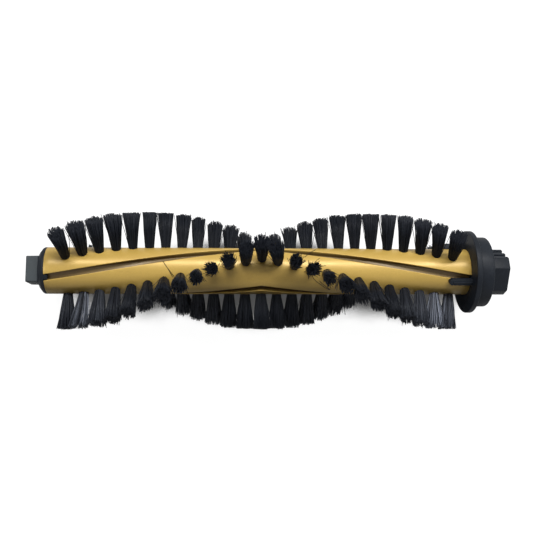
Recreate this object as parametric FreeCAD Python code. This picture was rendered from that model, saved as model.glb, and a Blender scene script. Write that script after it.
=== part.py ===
"""Main roller brush of a robot vacuum: a grooved plastic core with three chevron rows of bristle tufts.

Millimetres and degrees. X runs along the roller axis, from the square drive peg to the bearing cap, and the
origin is on the axis, half way along the whole length. The brush lies on its bristles with +Z up. An angle
about the axis counts from +Z towards +Y.
"""

import FreeCAD, Part
import math
import os

from FreeCAD import Vector

# Core: one moulded bar with three chevron grooves, sockets for the tufts and a hole in each end.
# The chevrons point at their apex, just past mid length, and a sweep is the turn from there to the drive end.
core_diameter = 16.0
core_length = 145.2
apex_offset = 0.4
groove_width = 2.2
groove_depth = 2.0
groove_apex_angle = 73.0
groove_sweep_angle = 90.5
groove_stations = 5

# Bristles: rows of tufts, each pinched in its socket by a flat metal staple. Past the upright tufts, counted
# from the apex, the tips lean to the drive end, one step further at each tuft.
row_count = 3
row_apex_angle = 33.0
row_sweep_angle = 127.4
tuft_pitch = 5.5
end_margin = 6.5
tuft_sides = 6
tip_diameter = 5.5
brush_diameter = 40.4
socket_diameter = 3.1
socket_depth = 4.0
tuft_clearance = 0.05
staple_thickness = 0.4
staple_height = 1.4
rest_flattening = 0.45
upright_tufts = 7
tip_lean_step = 0.22

# Drive cap: domed end with a square peg, a square spigot in the core and lugs in the ends of the grooves
peg_width = 9.1
peg_length = 4.2
peg_corner_radius = 0.6
peg_face_angle = 8.0
dome_height = 2.4
dome_rim = 1.0
dome_face_diameter = 12.4
spigot_width = 6.0
spigot_length = 4.6
lug_length = 1.2
fit_clearance = 0.05
lug_side_clearance = 0.3

# End flange: a disc on the core's end with fingers that lie along the core between the last tufts
flange_diameter = 28.9
flange_thickness = 1.85
finger_length = 8.0
finger_width = 2.1
finger_height = 1.8
ridge_width = 0.8
ridge_height = 0.25
ridge_setback = 1.3

# Bearing: a steel axle in the core, a bronze bush pressed into the cap, a washer and a forked clip
axle_diameter = 4.0
axle_depth_in_core = 16.0
axle_end_gap = 0.5
axle_tail = 1.0
running_clearance = 0.03
bush_wall = 1.5
washer_thickness = 0.4
washer_diameter = 9.0
clip_thickness = 0.5
clip_groove_depth = 0.4
clip_width = 4.6
clip_height = 5.0
side_clearance = 0.05

# Bearing cap: a barrel and a square block that sits still in the machine, with grip grooves in one face
barrel_diameter = 24.5
barrel_length = 4.5
barrel_edge_chamfer = 0.5
seat_width = 14.0
seat_length = 6.85
seat_corner_chamfer = 2.8
cap_end_wall = 1.4
grip_groove_count = 2
grip_groove_width = 2.0
grip_groove_depth = 0.8
grip_groove_spacing = 3.5

# Places along the axis
running_gap = washer_thickness + 2 * side_clearance
overall_length = (
    peg_length + dome_height + core_length + flange_thickness + running_gap + barrel_length + seat_length
)
x_peg_end = -overall_length / 2
x_dome_face = x_peg_end + peg_length
x_core_left = x_dome_face + dome_height
apex_from_drive_end = core_length / 2 + apex_offset
x_apex = x_core_left + apex_from_drive_end
x_core_right = x_core_left + core_length
x_flange_right = x_core_right + flange_thickness
x_barrel_left = x_flange_right + running_gap
x_barrel_right = x_barrel_left + barrel_length
x_seat_end = x_barrel_right + seat_length
x_bore_end = x_seat_end - cap_end_wall
x_axle_end = x_bore_end - axle_end_gap
x_clip_left = x_axle_end - axle_tail - clip_thickness
x_bush_right = x_clip_left - 2 * side_clearance

# Sizes that follow from those above
core_radius = core_diameter / 2
tip_radius = brush_diameter / 2
socket_bottom = core_radius - socket_depth
staple_top = socket_bottom + staple_height
axle_radius = axle_diameter / 2
clip_seat = axle_radius - clip_groove_depth
bush_radius = axle_radius + running_clearance + bush_wall
row_step = 360.0 / row_count
tufts_per_arm = int((core_length / 2 - end_margin) / tuft_pitch)
row_twist = row_sweep_angle / apex_from_drive_end
groove_twist = groove_sweep_angle / apex_from_drive_end
rest_height = tip_radius - rest_flattening
last_tuft_angle = row_apex_angle - row_twist * tufts_per_arm * tuft_pitch
finger_angle = last_tuft_angle + row_step / 2
overrun = 1.0

axis_point = Vector(0, 0, 0)
axis_direction = Vector(1, 0, 0)


def turned(shape, angle):
    """A copy of a shape built on the +Z side, turned about the axis to the given angle."""
    copy = shape.copy()
    copy.rotate(axis_point, axis_direction, -angle)
    return copy


def shifted(shape, x):
    """A copy of a shape, moved along the axis."""
    copy = shape.copy()
    copy.translate(Vector(x, 0, 0))
    return copy


def cylinder(radius, x_from, x_to):
    """A cylinder on the roller axis."""
    return Part.makeCylinder(radius, x_to - x_from, Vector(x_from, 0, 0), axis_direction)


def revolved(points):
    """A solid of revolution about the axis from an outline of (x, radius) points."""
    outline = [Vector(x, 0, radius) for x, radius in points]
    face = Part.Face(Part.makePolygon(outline + outline[:1]))
    return face.revolve(axis_point, axis_direction, 360)


def block(x_from, x_to, width, z_from, z_to):
    """A box centred on the XZ plane."""
    return Part.makeBox(x_to - x_from, width, z_to - z_from, Vector(x_from, -width / 2, z_from))


def polygon_points(sides, across_flats, z):
    """Corners of a regular polygon round the Z axis, with one corner on the X axis."""
    corner_radius = across_flats / 2 / math.cos(math.pi / sides)
    angles = [2 * math.pi * i / sides for i in range(sides)]
    return [Vector(corner_radius * math.cos(a), corner_radius * math.sin(a), z) for a in angles]


def frustum(sides, low_width, low_z, high_width, high_z, low_x=0, high_x=0):
    """A straight or tapered prism of flat faces, standing along Z or leaning along X."""
    low = [p + Vector(low_x, 0, 0) for p in polygon_points(sides, low_width, low_z)]
    high = [p + Vector(high_x, 0, 0) for p in polygon_points(sides, high_width, high_z)]
    faces = [Part.Face(Part.makePolygon(low + low[:1])), Part.Face(Part.makePolygon(high + high[:1]))]
    for i in range(sides):
        j = (i + 1) % sides
        faces.append(Part.Face(Part.makePolygon([low[i], low[j], high[j], high[i], low[i]])))
    solid = Part.Solid(Part.Shell(faces))
    return solid if solid.Volume > 0 else solid.reversed()


def tuft_places(row, arm):
    """Place on the axis, angle and tip lean of each tuft in an arm of a row: -1 left, 0 apex, 1 right."""
    apex = row_apex_angle + row * row_step
    places = []
    for step in range(1, tufts_per_arm + 1) if arm else [0]:
        distance = step * tuft_pitch
        lean = tip_lean_step * max(0, step - upright_tufts)
        places.append((x_apex + arm * distance, apex - row_twist * distance, lean))
    return places


def row_places(row):
    return [place for arm in (-1, 0, 1) for place in tuft_places(row, arm)]


def groove_angle(distance_from_apex):
    return groove_apex_angle - groove_twist * distance_from_apex


def chevron_groove():
    """Cutters for one groove: a slot section lofted along its helix, from the apex past each end."""
    floor = core_radius - groove_depth
    half = groove_width / 2
    corners = [
        Vector(0, -half, floor),
        Vector(0, half, floor),
        Vector(0, half, core_radius + overrun),
        Vector(0, -half, core_radius + overrun),
    ]
    section = Part.makePolygon(corners + corners[:1])
    reach = apex_from_drive_end + overrun
    stations = [reach * i / (groove_stations - 1) for i in range(groove_stations)]
    sections = [shifted(turned(section, groove_angle(d)), x_apex + d) for d in stations]
    right = Part.makeLoft(sections, True, False)
    left = right.mirror(Vector(x_apex, 0, 0), axis_direction)
    return [right, left]


def make_spigot(x_from, clearance):
    """The drive cap's square spigot, in line with its peg, or with a clearance the hole for it."""
    width = spigot_width + 2 * clearance
    spigot = block(x_from, x_core_left + spigot_length + clearance, width, -width / 2, width / 2)
    return turned(spigot, peg_face_angle)


def make_core():
    """The bar, less its grooves, tuft sockets, spigot hole and axle bore."""
    bar = cylinder(core_radius, x_core_left, x_core_right)
    cutters = [turned(arm, i * row_step) for i in range(row_count) for arm in chevron_groove()]
    socket = frustum(tuft_sides, socket_diameter, socket_bottom, socket_diameter, core_radius + overrun)
    for row in range(row_count):
        cutters += [shifted(turned(socket, angle), x) for x, angle, lean in row_places(row)]
    cutters.append(make_spigot(x_core_left - overrun, fit_clearance))
    cutters.append(cylinder(axle_radius, x_core_right - axle_depth_in_core, x_core_right + overrun))
    return bar.cut(cutters)


def make_tuft(lean):
    """One tuft on the Z axis: narrow at the staple, just inside its socket's mouth, and widest at the tip."""
    mouth_width = socket_diameter - 2 * tuft_clearance
    above_core = tip_radius - core_radius
    root_part = (core_radius - staple_top) / above_core
    root_width = mouth_width - (tip_diameter - mouth_width) * root_part
    return frustum(tuft_sides, root_width, staple_top, tip_diameter, tip_radius, lean * root_part, -lean)


def make_staple(width):
    """A flat anchor that stands on the bottom of a socket, across the tuft."""
    return block(-width / 2, width / 2, staple_thickness, socket_bottom, staple_top)


def make_bristle_arm(row, arm):
    """The tufts of one arm, those under the brush pressed flat where they meet the surface it lies on."""
    above_rest = Part.makeBox(
        overall_length,
        brush_diameter + tip_diameter,
        tip_radius + tip_diameter + rest_height,
        Vector(-overall_length / 2, -(brush_diameter + tip_diameter) / 2, -rest_height),
    )
    tufts = []
    for x, angle, lean in tuft_places(row, arm):
        placed = shifted(turned(make_tuft(lean), angle), x)
        if placed.BoundBox.ZMin < -rest_height:
            placed = placed.common(above_rest)
        tufts += placed.Solids
    return Part.makeCompound(tufts)


def make_row_staples(row):
    """The staples of one whole row."""
    staple = make_staple(socket_diameter - 2 * tuft_clearance)
    return Part.makeCompound([shifted(turned(staple, angle), x) for x, angle, lean in row_places(row)])


def make_drive_cap():
    """Domed cap with the square peg that the drive socket turns."""
    dome = revolved(
        [
            (x_core_left, 0),
            (x_core_left, core_radius),
            (x_core_left - dome_rim, core_radius),
            (x_dome_face, dome_face_diameter / 2),
            (x_dome_face, 0),
        ]
    )

    peg = block(x_peg_end, x_core_left, peg_width, -peg_width / 2, peg_width / 2)
    long_edges = [e for e in peg.Edges if e.BoundBox.XLength > peg_length / 2]
    peg = turned(peg.makeFillet(peg_corner_radius, long_edges), peg_face_angle)

    spigot = make_spigot(x_core_left, 0)
    lug = block(
        x_core_left,
        x_core_left + lug_length,
        groove_width - 2 * lug_side_clearance,
        core_radius - groove_depth + fit_clearance,
        core_radius - fit_clearance,
    )
    lug_angle = groove_angle(apex_from_drive_end - lug_length / 2)
    lugs = [turned(lug, lug_angle + i * row_step) for i in range(row_count)]
    return dome.fuse([peg, spigot] + lugs).removeSplitter()


def make_finger():
    """One finger of the flange, round at its free end, with a ridge along the top."""
    z_low = core_radius + fit_clearance
    z_high = z_low + finger_height
    x_tip = x_core_right - finger_length
    x_round = x_tip + finger_width / 2
    x_root = x_core_right + flange_thickness / 2
    bar = block(x_round, x_root, finger_width, z_low, z_high)
    nose = Part.makeCylinder(finger_width / 2, finger_height, Vector(x_round, 0, z_low), Vector(0, 0, 1))
    ridge = block(x_tip + ridge_setback, x_root, ridge_width, z_low, z_high + ridge_height)
    return bar.fuse([nose, ridge]).removeSplitter()


def make_end_flange():
    """Disc over the core's end, with its fingers midway between the last tufts."""
    disc = cylinder(flange_diameter / 2, x_core_right, x_flange_right)
    fingers = [turned(make_finger(), finger_angle + i * row_step) for i in range(row_count)]
    axle_hole = cylinder(axle_radius + fit_clearance, x_core_right - overrun, x_flange_right + overrun)
    return disc.fuse(fingers).removeSplitter().cut(axle_hole)


def make_axle_pin():
    """Steel pin with a slot in each side for the clip, near its outer end."""
    pin = cylinder(axle_radius, x_core_right - axle_depth_in_core, x_axle_end)
    slot_width = clip_thickness + 2 * side_clearance
    corner = Vector(x_clip_left - side_clearance, clip_seat, -axle_radius)
    slot = Part.makeBox(slot_width, axle_radius, axle_diameter, corner)
    return pin.cut([slot, slot.mirror(axis_point, Vector(0, 1, 0))])


def make_ring(inner_radius, outer_radius, x_from, x_to):
    return cylinder(outer_radius, x_from, x_to).cut(cylinder(inner_radius, x_from - overrun, x_to + overrun))


def make_thrust_washer():
    x_left = x_flange_right + side_clearance
    return make_ring(axle_radius + fit_clearance, washer_diameter / 2, x_left, x_left + washer_thickness)


def make_bearing_bush():
    return make_ring(axle_radius + running_clearance, bush_radius, x_barrel_left, x_bush_right)


def make_retaining_clip():
    """Forked clip, pushed sideways into the axle's slots behind the bush."""
    x_right = x_clip_left + clip_thickness
    plate = block(x_clip_left, x_right, clip_width, -clip_height / 2, clip_height / 2)
    fork_width = 2 * (clip_seat + fit_clearance)
    fork_floor = -axle_radius - fit_clearance
    fork = block(x_clip_left - overrun, x_right + overrun, fork_width, fork_floor, clip_height)
    return plate.cut(fork)


def make_bearing_cap():
    """Barrel beside the flange and the block with cut corners, with a blind bore for the bush."""
    barrel = cylinder(barrel_diameter / 2, x_barrel_left, x_barrel_right)
    outer_rim = [e for e in barrel.Edges if e.BoundBox.XMin > x_barrel_right - barrel_edge_chamfer]
    barrel = barrel.makeChamfer(barrel_edge_chamfer, outer_rim)

    half = seat_width / 2
    seat = block(x_barrel_right - overrun, x_seat_end, seat_width, -half, half)
    long_edges = [e for e in seat.Edges if e.BoundBox.XLength > seat_length / 2]
    seat = turned(seat.makeChamfer(seat_corner_chamfer, long_edges), finger_angle)
    grooves = []
    for i in range(grip_groove_count):
        groove = block(
            x_barrel_right,
            x_seat_end + overrun,
            grip_groove_width,
            half - grip_groove_depth,
            half + overrun,
        )
        groove.translate(Vector(0, (i - (grip_groove_count - 1) / 2) * grip_groove_spacing, 0))
        grooves.append(turned(groove, finger_angle + 90))

    bore = cylinder(bush_radius, x_barrel_left - overrun, x_bore_end)
    return barrel.fuse(seat).cut(grooves + [bore]).removeSplitter()


def main():
    nodes = {
        "core": make_core(),
        "drive_cap": make_drive_cap(),
        "end_flange": make_end_flange(),
        "axle_pin": make_axle_pin(),
        "thrust_washer": make_thrust_washer(),
        "bearing_bush": make_bearing_bush(),
        "retaining_clip": make_retaining_clip(),
        "bearing_cap": make_bearing_cap(),
    }
    for row in range(row_count):
        for arm, side in ((-1, "left"), (0, "apex"), (1, "right")):
            nodes[f"bristle_row_{row + 1}_{side}"] = make_bristle_arm(row, arm)
        nodes[f"staples_row_{row + 1}"] = make_row_staples(row)

    os.makedirs("parts", exist_ok=True)
    for name, shape in nodes.items():
        shape.exportStep(f"parts/{name}.step")
        print(f"{name}: {len(shape.Solids)} solid(s), {shape.Volume:.1f} mm3, valid {shape.isValid()}")


main()
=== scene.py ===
import bpy
import bmesh
import math
import random
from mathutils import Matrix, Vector


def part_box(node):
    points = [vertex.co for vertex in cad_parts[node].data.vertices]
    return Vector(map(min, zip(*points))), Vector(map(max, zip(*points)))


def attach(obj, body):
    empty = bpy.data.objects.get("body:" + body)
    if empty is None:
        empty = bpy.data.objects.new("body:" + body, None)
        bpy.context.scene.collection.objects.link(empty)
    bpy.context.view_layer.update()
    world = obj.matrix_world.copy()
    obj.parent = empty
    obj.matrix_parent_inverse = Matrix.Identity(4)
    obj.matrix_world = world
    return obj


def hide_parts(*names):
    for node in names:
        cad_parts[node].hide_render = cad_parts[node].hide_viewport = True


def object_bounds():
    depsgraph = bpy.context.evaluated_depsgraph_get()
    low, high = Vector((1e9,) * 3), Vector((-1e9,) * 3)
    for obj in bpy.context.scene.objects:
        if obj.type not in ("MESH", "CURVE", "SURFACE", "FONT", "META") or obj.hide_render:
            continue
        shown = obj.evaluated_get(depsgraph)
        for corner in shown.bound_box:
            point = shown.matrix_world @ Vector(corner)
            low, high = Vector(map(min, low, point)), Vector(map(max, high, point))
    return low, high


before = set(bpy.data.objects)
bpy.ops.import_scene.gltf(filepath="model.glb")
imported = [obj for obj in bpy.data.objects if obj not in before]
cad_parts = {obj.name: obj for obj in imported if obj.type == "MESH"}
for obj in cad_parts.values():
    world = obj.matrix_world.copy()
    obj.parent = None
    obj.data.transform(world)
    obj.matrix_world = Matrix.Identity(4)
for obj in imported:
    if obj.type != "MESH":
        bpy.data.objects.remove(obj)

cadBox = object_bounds()
mm = 0.001
dice = random.Random(41)

# places that every piece shares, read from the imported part
coreLow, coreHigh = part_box("core")
driveLow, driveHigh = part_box("drive_cap")
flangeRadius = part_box("end_flange")[1].z
bearingLow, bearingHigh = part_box("bearing_cap")
coreRadius = coreHigh.z
armLength = 73 * mm  # from the apex of the chevrons to the drive end
apexX = coreLow.x + armLength
floorHeight = cadBox[0].z
armCount = 3
armStep = 360 / armCount  # degrees between rows, grooves and fingers
overrun = 1 * mm  # how far a cutter stands past what it cuts
near = 1e-6  # places closer than this are one
facing = 0.9  # cosine past which a face or an edge counts as square to an axis
smoothAngle = 35  # degrees, under which faces are shaded as one


# modelling helpers
def nothingSelected():
    if bpy.context.mode != "OBJECT":
        bpy.ops.object.mode_set(mode="OBJECT")
    bpy.ops.object.select_all(action="DESELECT")


def onlyThis(piece):
    nothingSelected()
    piece.select_set(True)
    bpy.context.view_layer.objects.active = piece


def settle(piece):  # puts the place, turn and size into the mesh
    onlyThis(piece)
    bpy.ops.object.transform_apply(location=True, rotation=True, scale=True)
    return piece


def addRod(name, radius, xFrom, xTo, sides):
    nothingSelected()
    bpy.ops.mesh.primitive_cylinder_add(
        vertices=sides,
        radius=radius,
        depth=xTo - xFrom,
        location=((xFrom + xTo) / 2, 0, 0),
        rotation=(0, math.pi / 2, 0),
    )
    rod = bpy.context.object
    rod.name = name
    return settle(rod)


def addBlock(name, xFrom, xTo, width, zFrom, zTo):
    nothingSelected()
    bpy.ops.mesh.primitive_cube_add(
        size=1,
        location=((xFrom + xTo) / 2, 0, (zFrom + zTo) / 2),
        scale=(xTo - xFrom, width, zTo - zFrom),
    )
    block = bpy.context.object
    block.name = name
    return settle(block)


def turn(piece, degrees):  # about the roller axis, from the top towards +Y
    piece.rotation_euler.x = -math.radians(degrees)
    return settle(piece)


def pick(piece, faces=None, edges=None):  # selects by place in edit mode
    onlyThis(piece)
    bpy.ops.object.mode_set(mode="EDIT")
    bpy.ops.mesh.select_mode(type="FACE" if faces else "EDGE")
    bpy.ops.mesh.select_all(action="DESELECT")
    mesh = bmesh.from_edit_mesh(piece.data)
    if faces:
        for face in mesh.faces:
            face.select_set(bool(faces(face)))
    else:
        for edge in mesh.edges:
            edge.select_set(bool(edges(edge)))
    mesh.select_flush_mode()
    bmesh.update_edit_mesh(piece.data)


def roundEdges(piece, test, width, segments):
    pick(piece, edges=test)
    bpy.ops.mesh.bevel(offset=width, segments=segments, affect="EDGES", clamp_overlap=True)
    bpy.ops.object.mode_set(mode="OBJECT")


def applyAll(piece):
    onlyThis(piece)
    for modifier in list(piece.modifiers):
        bpy.ops.object.modifier_apply(modifier=modifier.name)


def combine(piece, tool, operation):
    step = piece.modifiers.new(operation.lower(), "BOOLEAN")
    step.operation = operation
    step.solver = "EXACT"
    step.object = tool
    applyAll(piece)
    bpy.data.objects.remove(tool)


def smooth(piece):
    onlyThis(piece)
    bpy.ops.object.shade_smooth_by_angle(angle=math.radians(smoothAngle))


def dress(piece, material, slot, body, *nodes):
    piece.data.materials.clear()
    piece.data.materials.append(material)
    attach(piece, body)
    if nodes:
        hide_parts(*nodes)


def edgeAlongX(edge):
    run = edge.verts[1].co - edge.verts[0].co
    return abs(run.x) > facing * run.length


def edgeRoundX(edge):  # an edge that lies across the axis
    run = edge.verts[1].co - edge.verts[0].co
    return abs(run.x) < near


def edgeX(edge):
    return (edge.verts[0].co.x + edge.verts[1].co.x) / 2


def rimAt(edge, x):  # an edge of the end face at x
    return edgeRoundX(edge) and abs(edgeX(edge) - x) < near


def reach(point):  # distance from the roller axis
    return math.hypot(point.y, point.z)


# shader helpers
noiseLow, noiseHigh = 0.3, 0.7  # where most values of a noise texture lie


def newGroup(name, inputs, outputs):
    group = bpy.data.node_groups.new(name, "ShaderNodeTree")
    for label, kind, value in inputs:
        socket = group.interface.new_socket(label, in_out="INPUT", socket_type=kind)
        socket.default_value = value
    for label, kind in outputs:
        group.interface.new_socket(label, in_out="OUTPUT", socket_type=kind)
    return group, group.nodes.new("NodeGroupInput"), group.nodes.new("NodeGroupOutput")


def addNode(tree, kind, **settings):
    node = tree.nodes.new(kind)
    for key, value in settings.items():
        if key in node.inputs:
            node.inputs[key].default_value = value
        else:
            setattr(node, key, value)
    return node


def calculate(tree, operation, first, second, clamp=False):
    node = addNode(tree, "ShaderNodeMath", operation=operation, use_clamp=clamp)
    for index, value in enumerate((first, second)):
        if isinstance(value, (int, float)):
            node.inputs[index].default_value = value
        else:
            tree.links.new(value, node.inputs[index])
    return node.outputs[0]


def blendColours(tree, factor, dark, light):
    node = addNode(tree, "ShaderNodeMix", data_type="RGBA")
    tree.links.new(factor, node.inputs[0])
    # sockets 6 and 7 take the colours and output 2 gives the mix
    for socket, value in ((node.inputs[6], dark), (node.inputs[7], light)):
        if isinstance(value, tuple):
            socket.default_value = value
        else:
            tree.links.new(value, socket)
    return node.outputs[2]


def spread(tree, value, low, high, toLow, toHigh):
    node = addNode(tree, "ShaderNodeMapRange")
    tree.links.new(value, node.inputs[0])
    for index, number in enumerate((low, high, toLow, toHigh)):
        node.inputs[index + 1].default_value = number
    return node.outputs[0]


def makeMouldGrain():
    inputs = (
        ("Fine Scale", "NodeSocketFloat", 4000.0),
        ("Wave Scale", "NodeSocketFloat", 120.0),
        ("Fine Height", "NodeSocketFloat", 0.3),
        ("Wave Height", "NodeSocketFloat", 0.7),
        ("Low Roughness", "NodeSocketFloat", 0.3),
        ("High Roughness", "NodeSocketFloat", 0.45),
    )
    outputs = [(label, "NodeSocketFloat") for label in ("Height", "Roughness", "Patches")]
    group, source, result = newGroup("mouldGrain", inputs, outputs)
    place = addNode(group, "ShaderNodeTexCoord").outputs["Object"]
    fine = addNode(group, "ShaderNodeTexNoise", Detail=3.0)
    wave = addNode(group, "ShaderNodeTexNoise", Detail=2.0)
    for noise, label in ((fine, "Fine Scale"), (wave, "Wave Scale")):
        group.links.new(place, noise.inputs["Vector"])
        group.links.new(source.outputs[label], noise.inputs["Scale"])
    fineHeight = calculate(group, "MULTIPLY", fine.outputs[0], source.outputs["Fine Height"])
    waveHeight = calculate(group, "MULTIPLY", wave.outputs[0], source.outputs["Wave Height"])
    group.links.new(calculate(group, "ADD", fineHeight, waveHeight), result.inputs["Height"])
    patches = spread(group, wave.outputs[0], noiseLow, noiseHigh, 0.0, 1.0)
    low, high = source.outputs["Low Roughness"], source.outputs["High Roughness"]
    gap = calculate(group, "SUBTRACT", high, low)
    rough = calculate(group, "ADD", calculate(group, "MULTIPLY", gap, patches), low)
    group.links.new(rough, result.inputs["Roughness"])
    group.links.new(patches, result.inputs["Patches"])
    return group


def newMaterial(name):
    material = bpy.data.materials.new(name)
    material.use_nodes = True
    return material, material.node_tree, material.node_tree.nodes["Principled BSDF"]


def useGrain(tree, shader, group, distance, **values):
    grain = tree.nodes.new("ShaderNodeGroup")
    grain.node_tree = group
    for label, value in values.items():
        grain.inputs[label.replace("_", " ")].default_value = value
    bump = addNode(tree, "ShaderNodeBump", Strength=1.0, Distance=distance)
    tree.links.new(grain.outputs["Height"], bump.inputs["Height"])
    tree.links.new(bump.outputs[0], shader.inputs["Normal"])
    tree.links.new(grain.outputs["Roughness"], shader.inputs["Roughness"])
    return grain


goldLook = {
    "deep": (0.50, 0.315, 0.066, 1),
    "bright": (0.68, 0.455, 0.112, 1),
    "paintedGrooveShade": (0.16, 0.105, 0.036, 1),  # painted shade, darker in the grooves and sockets
    "paintedShadeFrom": 7.2 * mm,  # from the axis, where it is full and where it ends
    "paintedShadeTo": 7.9 * mm,
    "metallic": 0.1,
    "shine": 0.35,
    "smoothest": 0.28,  # roughness
    "roughest": 0.38,
    "bumpDepth": 0.04 * mm,
    "flakeScale": 5200.0,
    "streak": (14.0, 150.0, 150.0),  # flow marks run along the bar
    "flowShare": 0.9,  # of the tone between deep and bright
    "flakeShare": 0.35,
    "patchShare": 0.1,
}


def makeGold(grainGroup):
    material, tree, shader = newMaterial("goldPlastic")
    grain = useGrain(
        tree, shader, grainGroup, goldLook["bumpDepth"],
        Fine_Scale=2600.0, Wave_Scale=70.0, Fine_Height=0.25, Wave_Height=3.0,
        Low_Roughness=goldLook["smoothest"], High_Roughness=goldLook["roughest"],
    )
    place = addNode(tree, "ShaderNodeTexCoord").outputs["Object"]
    stretch = addNode(tree, "ShaderNodeMapping")
    stretch.inputs["Scale"].default_value = goldLook["streak"]
    tree.links.new(place, stretch.inputs["Vector"])
    flow = addNode(tree, "ShaderNodeTexNoise", Scale=1.0, Detail=4.0)
    tree.links.new(stretch.outputs[0], flow.inputs["Vector"])
    flakes = addNode(tree, "ShaderNodeTexVoronoi", Scale=goldLook["flakeScale"])
    tree.links.new(place, flakes.inputs["Vector"])
    glint = calculate(tree, "MULTIPLY", flakes.outputs["Color"], goldLook["flakeShare"])
    marks = calculate(tree, "MULTIPLY", flow.outputs[0], goldLook["flowShare"])
    patches = calculate(tree, "MULTIPLY", grain.outputs["Patches"], goldLook["patchShare"])
    tone = calculate(tree, "ADD", calculate(tree, "ADD", marks, glint), patches, clamp=True)
    colour = blendColours(tree, tone, goldLook["deep"], goldLook["bright"])
    apart = addNode(tree, "ShaderNodeSeparateXYZ")
    tree.links.new(place, apart.inputs[0])
    squares = [calculate(tree, "POWER", apart.outputs[axis], 2.0) for axis in ("Y", "Z")]
    fromAxis = calculate(tree, "SQRT", calculate(tree, "ADD", *squares), 0.0)
    # painted shade: the gold darkens towards the groove floors and the sockets, by distance from the
    # axis
    grooveShading = spread(tree, fromAxis, goldLook["paintedShadeFrom"], goldLook["paintedShadeTo"], 1.0, 0.0)
    colour = blendColours(tree, grooveShading, colour, goldLook["paintedGrooveShade"])
    tree.links.new(colour, shader.inputs["Base Color"])
    shader.inputs["Metallic"].default_value = goldLook["metallic"]
    shader.inputs["Specular IOR Level"].default_value = goldLook["shine"]
    return material


blackLook = {
    "deep": (0.0065, 0.009, 0.014, 1),
    "worn": (0.021, 0.027, 0.036, 1),
    "pegWearAndSheen": (0.094, 0.108, 0.116, 1),  # the peg: worn where the drive socket turns it, and lighter as a painted sheen
    "pegWearAndSheenTo": 4.1 * mm,  # from the end of the peg
    "pegWearAndSheenFade": 0.3 * mm,
    "pegWearAndSheenShare": 0.8,
    "shine": 0.18,
    "smoothest": 0.42,  # roughness
    "roughest": 0.55,
    "bumpDepth": 0.03 * mm,
    "scuffScale": 900.0,
    "scuffFrom": 0.55,  # noise at which scuffs begin, and where they are full
    "scuffTo": 0.8,
    "scuffShare": 0.48,  # of the tone between deep and worn
    "patchShare": 0.3,
}


def makeBlack(grainGroup):
    material, tree, shader = newMaterial("blackPlastic")
    grain = useGrain(
        tree, shader, grainGroup, blackLook["bumpDepth"],
        Fine_Scale=3600.0, Wave_Scale=160.0, Fine_Height=0.6, Wave_Height=1.2,
        Low_Roughness=blackLook["smoothest"], High_Roughness=blackLook["roughest"],
    )
    place = addNode(tree, "ShaderNodeTexCoord").outputs["Object"]
    scuffs = addNode(tree, "ShaderNodeTexNoise", Detail=5.0, Roughness=0.7)
    scuffs.inputs["Scale"].default_value = blackLook["scuffScale"]
    tree.links.new(place, scuffs.inputs["Vector"])
    scuffFrom, scuffTo = blackLook["scuffFrom"], blackLook["scuffTo"]
    worn = spread(tree, scuffs.outputs[0], scuffFrom, scuffTo, 0.0, blackLook["scuffShare"])
    patches = calculate(tree, "MULTIPLY", grain.outputs["Patches"], blackLook["patchShare"])
    tone = calculate(tree, "ADD", worn, patches, clamp=True)
    colour = blendColours(tree, tone, blackLook["deep"], blackLook["worn"])
    apart = addNode(tree, "ShaderNodeSeparateXYZ")
    tree.links.new(place, apart.inputs[0])
    # wear and painted sheen: the peg is lighter than the rest of the cap
    pegEdge = driveLow.x + blackLook["pegWearAndSheenTo"]
    fadeFrom = pegEdge - blackLook["pegWearAndSheenFade"]
    pegWearAndSheen = spread(tree, apart.outputs["X"], fadeFrom, pegEdge, blackLook["pegWearAndSheenShare"], 0.0)
    colour = blendColours(tree, pegWearAndSheen, colour, blackLook["pegWearAndSheen"])
    tree.links.new(colour, shader.inputs["Base Color"])
    shader.inputs["Specular IOR Level"].default_value = blackLook["shine"]
    return material


bristleLook = {
    "root": (0.0065, 0.008, 0.011, 1),
    "tip": (0.007, 0.009, 0.0145, 1),
    "pale": (0.44, 0.48, 0.58, 1),  # paler strands: dust, painted sheen on the end tufts and painted light on the shaded row
    "paleAtRoot": 0.35,  # share of the dust near the root
    "paleFrom": 0.1,  # along the strand, where it grows and where it is full
    "paleTo": 0.8,
    "shine": 0.16,
    "smoothest": 0.36,  # roughness
    "roughest": 0.52,
    "rubScale": 1500.0,
}


def makeBristle():
    material, tree, shader = newMaterial("bristle")
    strand = addNode(tree, "ShaderNodeAttribute", attribute_name="strandTone")
    along = addNode(tree, "ShaderNodeAttribute", attribute_name="strandLength")
    body = blendColours(tree, along.outputs["Fac"], bristleLook["root"], bristleLook["tip"])
    paleFrom, paleTo = bristleLook["paleFrom"], bristleLook["paleTo"]
    faded = spread(tree, along.outputs["Fac"], paleFrom, paleTo, bristleLook["paleAtRoot"], 1.0)
    paleness = calculate(tree, "MULTIPLY", strand.outputs["Fac"], faded, clamp=True)
    colour = blendColours(tree, paleness, body, bristleLook["pale"])
    tree.links.new(colour, shader.inputs["Base Color"])
    place = addNode(tree, "ShaderNodeTexCoord").outputs["Object"]
    rub = addNode(tree, "ShaderNodeTexNoise", Scale=bristleLook["rubScale"], Detail=2.0)
    tree.links.new(place, rub.inputs["Vector"])
    smoothest, roughest = bristleLook["smoothest"], bristleLook["roughest"]
    rough = spread(tree, rub.outputs[0], noiseLow, noiseHigh, smoothest, roughest)
    tree.links.new(rough, shader.inputs["Roughness"])
    shader.inputs["Specular IOR Level"].default_value = bristleLook["shine"]
    return material


metalLooks = {
    "steel": {
        "dark": (0.42, 0.42, 0.43, 1),
        "light": (0.62, 0.62, 0.63, 1),
        "smoothest": 0.22,
        "roughest": 0.36,
    },
    "bronze": {
        "dark": (0.36, 0.22, 0.09, 1),
        "light": (0.56, 0.37, 0.17, 1),
        "smoothest": 0.35,
        "roughest": 0.5,
    },
}
metalBump = 0.01 * mm


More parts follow.
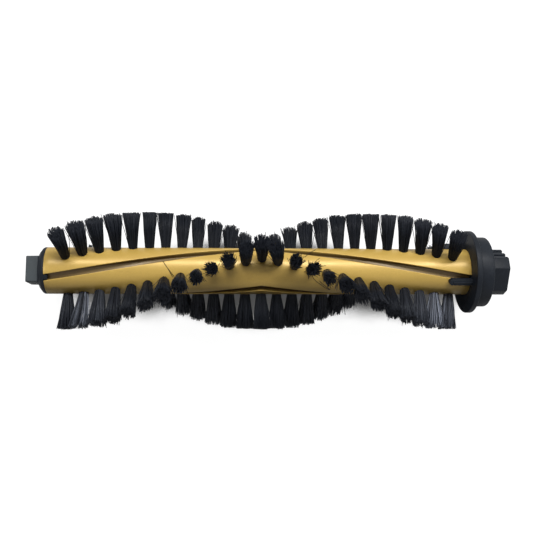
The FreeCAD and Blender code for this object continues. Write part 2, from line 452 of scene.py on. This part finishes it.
def makeMetal(name, grainGroup):
    look = metalLooks[name]
    material, tree, shader = newMaterial(name)
    grain = useGrain(
        tree, shader, grainGroup, metalBump,
        Fine_Scale=5200.0, Wave_Scale=420.0, Fine_Height=0.8, Wave_Height=0.4,
        Low_Roughness=look["smoothest"], High_Roughness=look["roughest"],
    )
    colour = blendColours(tree, grain.outputs["Patches"], look["dark"], look["light"])
    tree.links.new(colour, shader.inputs["Base Color"])
    shader.inputs["Metallic"].default_value = 1.0
    return material


mouldGrain = makeMouldGrain()
gold = makeGold(mouldGrain)
black = makeBlack(mouldGrain)
bristle = makeBristle()
steel = makeMetal("steel", mouldGrain)
bronze = makeMetal("bronze", mouldGrain)
print("materials made")


# tuft places: rows of chevrons round the core
tufts = {
    "pitch": 5.5 * mm,
    "perArm": 12,
    "apexAngle": 33,  # degrees from the top, first row
    "sweep": 127.4,  # degrees from the middle to the end of the core
    "socketRadius": 1.55 * mm,
    "socketDepth": 4.0 * mm,
    "rootRadius": 1.5 * mm,
    "tipRadius": 2.8 * mm,
    "brushRadius": 20.2 * mm,
    "rootReach": 5.5 * mm,
    "strands": 300,
    "strandRadius": 0.105 * mm,
    "ragged": 0.2 * mm,
    "strayShare": 0.06,
    "weld": 1e-7,  # metres, at the closed ends of a strand
}


def tuftPlace(row, index):
    x = apexX + index * tufts["pitch"]
    swept = tufts["sweep"] * abs(index) * tufts["pitch"] / armLength
    return x, tufts["apexAngle"] + row * armStep - swept


def tuftIndexes(side):
    steps = range(1, tufts["perArm"] + 1)
    return {"left": [-s for s in steps], "apex": [0], "right": list(steps)}[side]


# the gold core: a notched slice, repeated, twisted and mirrored into chevron grooves
core = {
    "sides": 120,
    "grooveWidth": 2.2 * mm,
    "grooveDepth": 2.0 * mm,
    "grooveApex": 73,  # degrees from the top
    "grooveSweep": 90.5,  # degrees from the apex to the drive end
    "rings": 36,
    "lipRound": 0.2 * mm,
    "floorRound": 0.3 * mm,
    "cornerAngle": 0.7,  # radians, past which an edge of the groove is rounded
    "weld": 0.005 * mm,
    "rimRound": 0.15 * mm,
    "socketSides": 16,
    "spigotHole": 6.1 * mm,
    "spigotDepth": 4.65 * mm,
    "spigotAngle": 8,  # degrees
    "axleBore": 2.0 * mm,
    "axleDepth": 16.0 * mm,
    "axleSides": 32,
}


def makeCore():
    step = armLength / core["rings"]
    floor = coreRadius - core["grooveDepth"]
    piece = addRod("goldCore", coreRadius, 0, step, core["sides"])
    turn(piece, 180 / core["sides"])  # a flat side on top
    width, top = core["grooveWidth"], coreRadius + overrun
    for i in range(armCount):
        cutter = addBlock("cutter", -overrun, step + overrun, width, floor, top)
        turn(cutter, i * armStep)
        combine(piece, cutter, "DIFFERENCE")
    pick(piece, faces=lambda face: abs(face.normal.x) > facing)
    bpy.ops.mesh.delete(type="FACE")
    bpy.ops.object.mode_set(mode="OBJECT")

    def cornerAt(edge, low, high):  # a long edge that is a corner of the groove
        turned = edge.calc_face_angle(0) if len(edge.link_faces) == 2 else 0
        sharp = edgeAlongX(edge) and turned > core["cornerAngle"]
        return sharp and low < reach(edge.verts[0].co) < high

    half = coreRadius - core["grooveDepth"] / 2
    roundEdges(piece, lambda edge: cornerAt(edge, half, 2 * coreRadius), core["lipRound"], segments=3)
    roundEdges(piece, lambda edge: cornerAt(edge, 0, half), core["floorRound"], segments=3)

    repeat = piece.modifiers.new("rings", "ARRAY")
    repeat.count = core["rings"]
    repeat.use_merge_vertices = True
    repeat.merge_threshold = core["weld"]
    twist = piece.modifiers.new("twist", "SIMPLE_DEFORM")
    twist.deform_method = "TWIST"
    twist.deform_axis = "X"
    twist.angle = math.radians(core["grooveSweep"])
    other = piece.modifiers.new("chevron", "MIRROR")
    other.merge_threshold = core["weld"]
    applyAll(piece)
    pick(piece, edges=lambda edge: edge.is_boundary)
    bpy.ops.mesh.edge_face_add()
    bpy.ops.object.mode_set(mode="OBJECT")
    return piece


def makeSocketCutter():
    nothingSelected()
    bottom = coreRadius - tufts["socketDepth"]
    deep = tufts["socketDepth"] + overrun
    rods = []
    for row in range(armCount):
        for side in ("left", "apex", "right"):
            for index in tuftIndexes(side):
                x, angle = tuftPlace(row, index)
                up = math.radians(angle)
                middle = bottom + deep / 2
                bpy.ops.mesh.primitive_cylinder_add(
                    vertices=core["socketSides"],
                    radius=tufts["socketRadius"],
                    depth=deep,
                    location=(x, middle * math.sin(up), middle * math.cos(up)),
                    rotation=(-up, 0, 0),
                )
                rods.append(bpy.context.object)
    for rod in rods:
        rod.select_set(True)
    bpy.context.view_layer.objects.active = rods[0]
    bpy.ops.object.join()
    cutter = bpy.context.object
    return settle(cutter)


goldCore = makeCore()
turn(goldCore, core["grooveApex"])
goldCore.location.x = apexX
settle(goldCore)
wide = 2 * coreRadius
past = addBlock("past", coreHigh.x, apexX + armLength + overrun, 2 * wide, -wide, wide)
combine(goldCore, past, "DIFFERENCE")  # the bearing arm is a little shorter
roundEdges(
    goldCore,
    lambda edge: rimAt(edge, coreLow.x) or rimAt(edge, coreHigh.x),
    core["rimRound"],
    segments=2,
)
combine(goldCore, makeSocketCutter(), "DIFFERENCE")
half = core["spigotHole"] / 2
holeEnd = coreLow.x + core["spigotDepth"]
square = addBlock("square", coreLow.x - overrun, holeEnd, 2 * half, -half, half)
combine(goldCore, turn(square, core["spigotAngle"]), "DIFFERENCE")
boreStart = coreHigh.x - core["axleDepth"]
bore = addRod("bore", core["axleBore"], boreStart, coreHigh.x + overrun, core["axleSides"])
combine(goldCore, bore, "DIFFERENCE")
smooth(goldCore)
dress(goldCore, gold, "gold_plastic", "roller", "core")
print("core", len(goldCore.data.polygons), "faces")


# drive cap: domed end, square peg, spigot and the lugs in the groove ends
drive = {
    "pegLength": 4.2 * mm,
    "pegWidth": 9.1 * mm,
    "pegEndShare": 0.98,  # the peg narrows a little to its end
    "pegCorner": 0.6 * mm,
    "pegEnd": 0.22 * mm,
    "pegAngle": core["spigotAngle"],
    "rim": 1.0 * mm,
    "faceRadius": 6.2 * mm,
    "domeRound": 0.45 * mm,
    "lugRound": 0.2 * mm,
    "spigotWidth": 6.0 * mm,
    "lugLength": 1.2 * mm,
    "lugWidth": 1.6 * mm,
    "lugClearance": 0.05 * mm,
    "sides": 96,
}


def makeDriveCap():
    faceX = driveLow.x + drive["pegLength"]
    rimX = coreLow.x - drive["rim"]
    piece = addRod("driveCap", coreRadius, rimX, coreLow.x, drive["sides"])
    pick(piece, faces=lambda face: face.normal.x < -facing)
    bpy.ops.mesh.extrude_region_move(TRANSFORM_OT_translate={"value": (faceX - rimX, 0, 0)})
    narrow = drive["faceRadius"] / coreRadius
    bpy.ops.transform.resize(value=(1, narrow, narrow), center_override=(faceX, 0, 0))
    bpy.ops.object.mode_set(mode="OBJECT")
    roundEdges(
        piece,
        lambda edge: edgeRoundX(edge) and edgeX(edge) < coreLow.x - near,
        drive["domeRound"],
        segments=5,
    )

    half = drive["pegWidth"] / 2
    peg = addBlock("peg", driveLow.x, rimX, drive["pegWidth"], -half, half)
    roundEdges(peg, edgeAlongX, drive["pegCorner"], segments=5)
    pick(peg, faces=lambda face: face.normal.x < -facing)
    share = drive["pegEndShare"]
    bpy.ops.transform.resize(value=(1, share, share), center_override=(driveLow.x, 0, 0))
    bpy.ops.object.mode_set(mode="OBJECT")
    roundEdges(peg, lambda edge: rimAt(edge, driveLow.x), drive["pegEnd"], segments=3)
    combine(piece, turn(peg, drive["pegAngle"]), "UNION")

    half = drive["spigotWidth"] / 2
    spigot = addBlock("spigot", rimX, driveHigh.x, drive["spigotWidth"], -half, half)
    combine(piece, turn(spigot, drive["pegAngle"]), "UNION")
    lugAngle = core["grooveApex"] - core["grooveSweep"] * (1 - drive["lugLength"] / 2 / armLength)
    for i in range(armCount):
        lug = addBlock(
            "lug",
            rimX,
            coreLow.x + drive["lugLength"],
            drive["lugWidth"],
            coreRadius - core["grooveDepth"] + drive["lugClearance"],
            coreRadius - drive["lugClearance"],
        )
        roundEdges(lug, edgeAlongX, drive["lugRound"], segments=2)
        turn(lug, lugAngle + i * armStep)
        combine(piece, lug, "UNION")
    return piece


driveCap = makeDriveCap()
smooth(driveCap)
dress(driveCap, black, "black_plastic", "roller", "drive_cap")
print("drive cap", len(driveCap.data.polygons), "faces")


# end flange: a round-edged disc with three fingers that lie along the core
flange = {
    "thickness": 1.85 * mm,
    "rimRound": 0.3 * mm,
    "fingerLength": 8.0 * mm,
    "fingerWidth": 2.1 * mm,
    "fingerHeight": 1.8 * mm,
    "fingerRound": 0.35 * mm,
    "fingerFlat": 0.01 * mm,  # what is left of the end between its two roundings, each side
    "fingerAngle": -22.18,  # degrees from the top
    "cornerAngle": 1,  # radians, past which an edge of the finger is rounded
    "ridgeWidth": 0.8 * mm,
    "ridgeHeight": 0.25 * mm,
    "ridgeSetback": 1.3 * mm,
    "clearance": 0.05 * mm,
    "holeRadius": 2.05 * mm,
    "holeSides": 32,
    "sides": 128,
}


def makeFinger():
    low = coreRadius + flange["clearance"]
    high = low + flange["fingerHeight"]
    start = coreHigh.x - flange["fingerLength"]
    finish = coreHigh.x + flange["thickness"] / 2
    finger = addBlock("finger", start, finish, flange["fingerWidth"], low, high)

    def endPost(edge):  # an upright edge of the free end
        return abs(edge.verts[0].co.z - edge.verts[1].co.z) > near and edgeX(edge) < start + near

    def topCorner(edge):
        onTop = min(v.co.z for v in edge.verts) > high - near and edgeX(edge) < finish - near
        return onTop and edge.calc_face_angle(0) > flange["cornerAngle"]

    roundEdges(finger, endPost, flange["fingerWidth"] / 2 - flange["fingerFlat"], segments=6)
    roundEdges(finger, topCorner, flange["fingerRound"], segments=3)
    ridge = addBlock(
        "ridge",
        start + flange["ridgeSetback"],
        finish,
        flange["ridgeWidth"],
        high - flange["ridgeHeight"],
        high + flange["ridgeHeight"],
    )
    ridgeRound = flange["ridgeHeight"] / 2
    roundEdges(ridge, lambda edge: min(v.co.z for v in edge.verts) > high, ridgeRound, segments=2)
    combine(finger, ridge, "UNION")
    return finger


def makeEndFlange():
    flangeRight = coreHigh.x + flange["thickness"]
    piece = addRod("endFlange", flangeRadius, coreHigh.x, flangeRight, flange["sides"])
    roundEdges(piece, edgeRoundX, flange["rimRound"], segments=4)
    for i in range(armCount):
        finger = turn(makeFinger(), flange["fingerAngle"] + i * armStep)
        combine(piece, finger, "UNION")
    holeStart, holeEnd = coreHigh.x - overrun, flangeRight + overrun
    hole = addRod("hole", flange["holeRadius"], holeStart, holeEnd, flange["holeSides"])
    combine(piece, hole, "DIFFERENCE")
    return piece


endFlange = makeEndFlange()
smooth(endFlange)
dress(endFlange, black, "black_plastic", "roller", "end_flange")
print("end flange", len(endFlange.data.polygons), "faces")


# bearing cap: barrel and square block with cut corners and grip grooves
bearing = {
    "barrelLength": 4.5 * mm,
    "barrelRadius": 12.25 * mm,
    "barrelRound": 0.5 * mm,
    "barrelEdge": 0.2 * mm,
    "seatWidth": 14.0 * mm,
    "seatChamfer": 2.8 * mm,
    "seatRound": 0.3 * mm,
    "cornerAngle": 0.5,  # radians, past which an edge of the seat is rounded
    "grooves": 2,
    "grooveSide": 90,  # degrees round the seat
    "grooveWidth": 2.0 * mm,
    "grooveDepth": 0.8 * mm,
    "grooveSpacing": 3.5 * mm,
    "boreRadius": 3.53 * mm,
    "boreSides": 48,
    "endWall": 1.4 * mm,
    "sides": 112,
}


def makeBearingCap():
    barrelRight = bearingLow.x + bearing["barrelLength"]
    piece = addRod("bearingCap", bearing["barrelRadius"], bearingLow.x, barrelRight, bearing["sides"])
    roundEdges(piece, lambda edge: rimAt(edge, barrelRight), bearing["barrelRound"], segments=4)
    roundEdges(piece, lambda edge: rimAt(edge, bearingLow.x), bearing["barrelEdge"], segments=2)

    half = bearing["seatWidth"] / 2
    seat = addBlock("seat", barrelRight - overrun, bearingHigh.x, bearing["seatWidth"], -half, half)
    roundEdges(seat, edgeAlongX, bearing["seatChamfer"], segments=1)
    for i in range(bearing["grooves"]):
        grip = addBlock(
            "grip",
            barrelRight,
            bearingHigh.x + overrun,
            bearing["grooveWidth"],
            half - bearing["grooveDepth"],
            half + overrun,
        )
        grip.location.y = (i - (bearing["grooves"] - 1) / 2) * bearing["grooveSpacing"]
        settle(grip)
        combine(seat, turn(grip, bearing["grooveSide"]), "DIFFERENCE")

    def longCorner(edge):
        return edgeAlongX(edge) and edge.calc_face_angle(0) > bearing["cornerAngle"]

    roundEdges(seat, longCorner, bearing["seatRound"], segments=3)
    roundEdges(seat, lambda edge: rimAt(edge, bearingHigh.x), bearing["seatRound"], segments=3)
    turn(seat, flange["fingerAngle"])
    combine(piece, seat, "UNION")
    boreStart, boreEnd = bearingLow.x - overrun, bearingHigh.x - bearing["endWall"]
    bore = addRod("bore", bearing["boreRadius"], boreStart, boreEnd, bearing["boreSides"])
    combine(piece, bore, "DIFFERENCE")
    return piece


bearingCap = makeBearingCap()
smooth(bearingCap)
dress(bearingCap, black, "black_plastic", "bearing_end", "bearing_cap")
print("bearing cap", len(bearingCap.data.polygons), "faces")


# bristle tufts, strand by strand
posed = {  # mm at the tip, along and across, where a tuft stands out of line
    (0, -12): (0.9, 0.0), (0, -10): (0.8, 0.0), (0, -9): (0.6, 0.0),
    (0, -4): (0.0, -0.3), (0, -3): (-0.7, -0.7), (0, -2): (-1.0, -0.9), (0, 0): (-0.5, -1.0),
    (0, 1): (-1.8, 0.4), (0, 2): (-0.3, -0.9), (0, 3): (-0.2, -0.7), (0, 4): (-0.3, -0.3),
    (1, -3): (0.4, 0.0), (1, -2): (0.7, -0.9),
    (2, -12): (0.6, 1.8), (2, -11): (0.5, -3.0),
}
leans = {  # mm at the tip, along the roller, in every row
    -12: -1.25, -11: -1.1, -10: -0.75, -9: -0.65, -8: -0.3,
    9: -0.4, 10: -0.5, 11: -0.7, 12: -0.8,
}
splayed = {  # share of the usual width at the tip
    (0, -12): 1.05, (0, -11): 1.15, (0, -10): 1.1,
    (0, 10): 1.1, (0, 11): 1.2, (0, 12): 1.05,
}
splayed.update({(0, index): 0.8 for index in (-4, -3, -2, 2, 3, 4)})
splayed.update({(1, index): 0.9 for index in (-7, -6, -5, -4)})
splayed.update({(2, index): 1.12 for index in range(-5, 6)})
frayed = {  # share of stray strands
    (0, -12): 0.12, (0, -3): 0.22, (0, -2): 0.2,
    (0, 2): 0.16, (0, 3): 0.2, (0, 4): 0.14,
}
pale = {  # how pale a tuft is: dust, with painted sheen on the end tufts
    (0, -12): 0.08, (0, -11): 0.7, (0, -10): 0.12, (0, -9): 0.02,
    (0, 9): 0.05, (0, 10): 0.14, (0, 11): 1.0, (0, 12): 0.36,
}
pale.update({(2, index): 0.15 for index in (-6, -5, -4, -3, 3, 4, 5, 6)})  # painted light: the shaded row is made paler
thin = {  # share of the usual number of strands
    (0, -12): 0.8, (0, -11): 0.45, (0, -10): 0.8,
    (0, 10): 0.7, (0, 11): 0.45, (0, 12): 0.75,
}
growth = {  # how the strands of a tuft spread
    "lean": 0.1,  # mm at the tip, by chance, along the roller
    "sway": 0.15,  # and across it
    "narrowest": 0.96,  # share of the width at the tip
    "widest": 1.05,
    "clumps": 9,  # in each of two rings
    "clumpEdge": 0.62,  # share of the radius where the outer ring begins
    "clumpAside": 0.14,  # mm
    "clumpRise": 0.12,
    "strandTurn": 2.39996,  # radians from strand to strand, the golden angle
    "turnSpread": 0.25,
    "strayFrom": 1.12,  # share of the width that a stray strand reaches
    "strayTo": 1.6,
    "bow": 0.10,  # mm
    "bend": 1.4,  # power of the bend towards the tip
    "restGap": 1.5,  # strand radii between a pressed strand and the table
    "restAside": 0.8,  # share of the press that goes sideways
    "paleGain": 1.8,
    "palePower": 1.4,
    "toneSpread": 0.03,
}
strandSteps = (0.0, 0.17, 0.56, 1.0)  # along the strand, from the staple to the tip
strandWidths = (1, 1, 1, 0.85)  # share of the strand's radius there


def growTuft(curve, row, index, tones):
    x, angle = tuftPlace(row, index)
    up = math.radians(angle)
    outward = Vector((0, math.sin(up), math.cos(up)))
    across = Vector((0, math.cos(up), -math.sin(up)))
    along = Vector((1, 0, 0))
    seat = Vector((x, 0, 0))
    moved = posed.get((row, index), (0.0, 0.0))
    lean = (leans.get(index, 0.0) + moved[0] + dice.gauss(0, growth["lean"])) * mm
    sway = (moved[1] + dice.gauss(0, growth["sway"])) * mm
    strays = frayed.get((row, index), tufts["strayShare"])
    widen = splayed.get((row, index), 1.0) * dice.uniform(growth["narrowest"], growth["widest"])
    paleness = pale.get((row, index), 0.0)
    count = int(tufts["strands"] * thin.get((row, index), 1.0))
    parts = growth["clumps"]
    spreads = (growth["clumpAside"], growth["clumpAside"], growth["clumpRise"])
    clumps = [[dice.gauss(0, size) * mm for size in spreads] for _ in range(2 * parts)]
    mouth = (coreRadius - tufts["rootReach"]) / (tufts["brushRadius"] - tufts["rootReach"])
    for k in range(count):
        ring = math.sqrt((k + 0.5) / count)
        spin = k * growth["strandTurn"] + dice.uniform(-growth["turnSpread"], growth["turnSpread"])
        part = int((spin % math.tau) / math.tau * parts)
        clump = clumps[part + (parts if ring > growth["clumpEdge"] else 0)]
        stray = 1.0
        if dice.random() < strays:
            stray = dice.uniform(growth["strayFrom"], growth["strayTo"])
        a = ring * math.cos(spin)
        b = ring * math.sin(spin)
        bow = dice.gauss(0, growth["bow"]) * mm
        bowAcross = dice.gauss(0, growth["bow"]) * mm
        tip = tufts["brushRadius"] + clump[2] - abs(dice.gauss(0, tufts["ragged"]))
        rootRadius, tipRadius = tufts["rootRadius"], tufts["tipRadius"] * widen * stray
        points = []
        for t in strandSteps:
            flare = max(0.0, (t - mouth) / (1 - mouth))
            wide = rootRadius + (tipRadius - rootRadius) * flare
            bend = flare ** growth["bend"]
            offX = a * wide + (lean + clump[0]) * bend + bow * math.sin(math.pi * t)
            offY = b * wide + (sway + clump[1]) * bend + bowAcross * math.sin(math.pi * t)
            rise = tufts["rootReach"] + (tip - tufts["rootReach"]) * t
            rise -= (rise - math.sqrt(max(0, rise * rise - offY * offY))) * flare
            point = seat + outward * rise + along * offX + across * offY
            sink = floorHeight + tufts["strandRadius"] * growth["restGap"] - point.z
            if sink > 0:  # pressed aside where the brush rests
                point.z += sink
                point.y += math.copysign(sink * growth["restAside"], point.y)
            points.append(point)
        spline = curve.splines.new("POLY")
        spline.points.add(len(points) - 1)
        spline.points.foreach_set("co", [c for p in points for c in (p.x, p.y, p.z, 1)])
        spline.points.foreach_set("radius", strandWidths)
        # dust and painted light: how much paler a strand is
        dustAndPaintedLight = growth["paleGain"] * paleness * dice.random() ** growth["palePower"]
        tones.append(min(1.0, dustAndPaintedLight + dice.uniform(0, growth["toneSpread"])))


loose = {  # shed hairs on the core: mm from the apex and degrees from the top
    "left": (
        ((-33.4, 23.7), (-31.6, 5.5), (-30.1, -14.7)),
        ((-32.8, 16.6), (-31.3, 2.6), (-29.6, -13.4)),
    ),
    "right": (
        ((14.6, 36.5), (16.2, 49.4), (18.7, 67.0)),
        ((17.5, -16.6), (19.5, -32.7), (23.4, -51.0)),
        ((19.6, -23.6), (21.6, -38.1), (23.7, -51.4)),
    ),
}
looseWidth = 0.8  # share of the strand's radius


def layHair(curve, hair, tones):
    lift = coreRadius + tufts["strandRadius"]
    middles = [tuple((a + b) / 2 for a, b in zip(*pair)) for pair in zip(hair, hair[1:])]
    ends = [hair[0], *middles, hair[-1]]  # as many points as a strand has
    points = []
    for along, degrees in ends:
        up = math.radians(degrees)
        points += [apexX + along * mm, lift * math.sin(up), lift * math.cos(up), 1]
    spline = curve.splines.new("POLY")
    spline.points.add(len(ends) - 1)
    spline.points.foreach_set("co", points)
    spline.points.foreach_set("radius", [looseWidth] * len(ends))
    tones.append(0.0)


def makeBristles(row, side):
    name = f"bristles_{row + 1}_{side}"
    curve = bpy.data.curves.new(name, "CURVE")
    curve.dimensions = "3D"
    curve.bevel_depth = tufts["strandRadius"]
    curve.bevel_resolution = 0
    curve.use_fill_caps = True
    tones = []
    for index in tuftIndexes(side):
        growTuft(curve, row, index, tones)
    if row == 0:
        for hair in loose.get(side, ()):
            layHair(curve, hair, tones)
    piece = bpy.data.objects.new(name, curve)
    bpy.context.scene.collection.objects.link(piece)
    onlyThis(piece)
    bpy.ops.object.convert(target="MESH")
    piece = bpy.context.object
    bpy.ops.object.shade_smooth()
    # the closed ends come first, last strand first, and then the tubes
    ringPoints = 4  # round a strand without bevel resolution
    tubePoints = ringPoints * len(strandSteps)
    tone = piece.data.attributes.new("strandTone", "FLOAT", "POINT")
    endTones = [value for value in reversed(tones) for _ in range(2 * ringPoints)]
    tone.data.foreach_set("value", endTones + [value for value in tones for _ in range(tubePoints)])
    length = piece.data.attributes.new("strandLength", "FLOAT", "POINT")
    oneEnd = [1.0] * ringPoints + [0.0] * ringPoints
    oneTube = [t for t in strandSteps for _ in range(ringPoints)]
    length.data.foreach_set("value", oneEnd * len(tones) + oneTube * len(tones))
    bpy.ops.object.mode_set(mode="EDIT")
    bpy.ops.mesh.select_all(action="SELECT")
    bpy.ops.mesh.remove_doubles(threshold=tufts["weld"])
    bpy.ops.object.mode_set(mode="OBJECT")
    dress(piece, bristle, "bristle", "roller", f"bristle_row_{row + 1}_{side}")
    return piece


for row in range(armCount):
    for side in ("left", "apex", "right"):
        grown = makeBristles(row, side)
        print(grown.name, len(grown.data.vertices), "points")

# the hidden metal pieces keep their own meshes
hidden = {"axle_pin": steel, "thrust_washer": steel, "retaining_clip": steel, "bearing_bush": bronze}
hidden.update({f"staples_row_{row + 1}": steel for row in range(armCount)})
for name, metal in hidden.items():
    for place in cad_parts[name].material_slots:
        place.material = metal


# a table that glows white to the camera, with a painted shadow close to the brush, white
# surroundings, one long lamp on the +Y side and a weak one towards each end
studio = {
    "floorSize": 1.5,
    "floorColour": 0.25,  # what the table gives back to the brush
    "floorMirrored": 0.8,  # what shows of it in gloss
    "floorSeen": 0.2,  # what the camera sees of the lamps on the table
    "floorGlow": 0.98,  # and of its own white
    "shadeReach": 25 * mm,  # how far off the brush the painted shadow on the table reaches
    "shadeLean": 33,  # degrees from the top towards the long lamp
    "shadeFrom": 0.50,  # share of open sky that is dark, and the one that is white
    "shadeTo": 0.63,
    "shade": 0.065,
    "shadeSamples": 32,
    "fill": 0.02,  # light from the surroundings
}


def makeFloor():
    nothingSelected()
    bpy.ops.mesh.primitive_plane_add(size=studio["floorSize"], location=(0, 0, floorHeight))
    floor = settle(bpy.context.object)
    floor.name = "floor"
    material = bpy.data.materials.new("table")
    material.use_nodes = True
    tree = material.node_tree
    tree.nodes.clear()
    rays = addNode(tree, "ShaderNodeLightPath").outputs
    mirrored = calculate(tree, "MAXIMUM", rays["Is Glossy Ray"], rays["Is Transmission Ray"])
    level = spread(tree, mirrored, 0.0, 1.0, studio["floorColour"], studio["floorMirrored"])
    seenShare = studio["floorSeen"] / studio["floorColour"]
    gain = spread(tree, rays["Is Camera Ray"], 0.0, 1.0, 1.0, seenShare)
    paint = addNode(tree, "ShaderNodeBsdfDiffuse")
    tree.links.new(calculate(tree, "MULTIPLY", level, gain), paint.inputs["Color"])
    # painted shadow: the table's white glow to the camera is darkened by ambient occlusion towards
    # the long lamp
    lean = math.radians(studio["shadeLean"])
    towards = addNode(tree, "ShaderNodeCombineXYZ", Y=math.sin(lean), Z=math.cos(lean))
    sky = addNode(tree, "ShaderNodeAmbientOcclusion", samples=studio["shadeSamples"])
    sky.inputs["Distance"].default_value = studio["shadeReach"]
    tree.links.new(towards.outputs[0], sky.inputs["Normal"])
    shadeFrom, shadeTo = studio["shadeFrom"], studio["shadeTo"]
    white = spread(tree, sky.outputs["AO"], shadeFrom, shadeTo, studio["shade"], studio["floorGlow"])
    glow = addNode(tree, "ShaderNodeEmission")
    tree.links.new(calculate(tree, "MULTIPLY", white, rays["Is Camera Ray"]), glow.inputs["Strength"])
    both = addNode(tree, "ShaderNodeAddShader")
    tree.links.new(paint.outputs[0], both.inputs[0])
    tree.links.new(glow.outputs[0], both.inputs[1])
    result = addNode(tree, "ShaderNodeOutputMaterial")
    tree.links.new(both.outputs[0], result.inputs["Surface"])
    floor.data.materials.append(material)


def makeSurroundings():
    world = bpy.data.worlds.new("surroundings")
    bpy.context.scene.world = world
    world.use_nodes = True
    tree = world.node_tree
    back = tree.nodes["Background"]
    rays = addNode(tree, "ShaderNodeLightPath").outputs
    seen = calculate(tree, "MAXIMUM", rays["Is Camera Ray"], rays["Is Glossy Ray"])
    seen = calculate(tree, "MAXIMUM", seen, rays["Is Transmission Ray"])
    level = spread(tree, seen, 0.0, 1.0, studio["fill"], 1.0)
    back.inputs["Color"].default_value = (1, 1, 1, 1)
    tree.links.new(level, back.inputs["Strength"])


lamps = (  # place in metres, length along the roller, depth, watts
    ((0.05, 0.321, 0.383), 0.60, 0.10, 2.8),
    ((0.30, 0.08, 0.37), 0.10, 0.10, 0.16),
    ((-0.30, 0.08, 0.37), 0.10, 0.10, 0.16),
)


def makeLamps():
    for place, length, depth, watts in lamps:
        nothingSelected()
        bpy.ops.object.light_add(type="AREA", location=place)
        lamp = bpy.context.object
        lamp.rotation_euler = (-Vector(place)).to_track_quat("-Z", "Y").to_euler()
        lamp.data.shape = "ELLIPSE"
        lamp.data.size = length
        lamp.data.size_y = depth
        lamp.data.energy = watts


makeFloor()
makeSurroundings()
makeLamps()
print("studio set")

# camera at the photographed angle
view = {
    "place": Vector((-12.911, 0.4226, 266.636)) * mm,  # from the apex of the chevrons
    "turn": (-0.0124, -3.4492, 0.2066),  # degrees
    "lens": 51.033,
    "sensor": 36,
    "nearest": 10 * mm,
}
nothingSelected()
place = view["place"] + Vector((apexX, 0, 0))
bpy.ops.object.camera_add(location=place, rotation=[math.radians(a) for a in view["turn"]])
camera = bpy.context.object
camera.data.lens = view["lens"]
camera.data.sensor_width = view["sensor"]
camera.data.clip_start = view["nearest"]
bpy.context.scene.camera = camera
bpy.context.scene.view_settings.view_transform = "Standard"
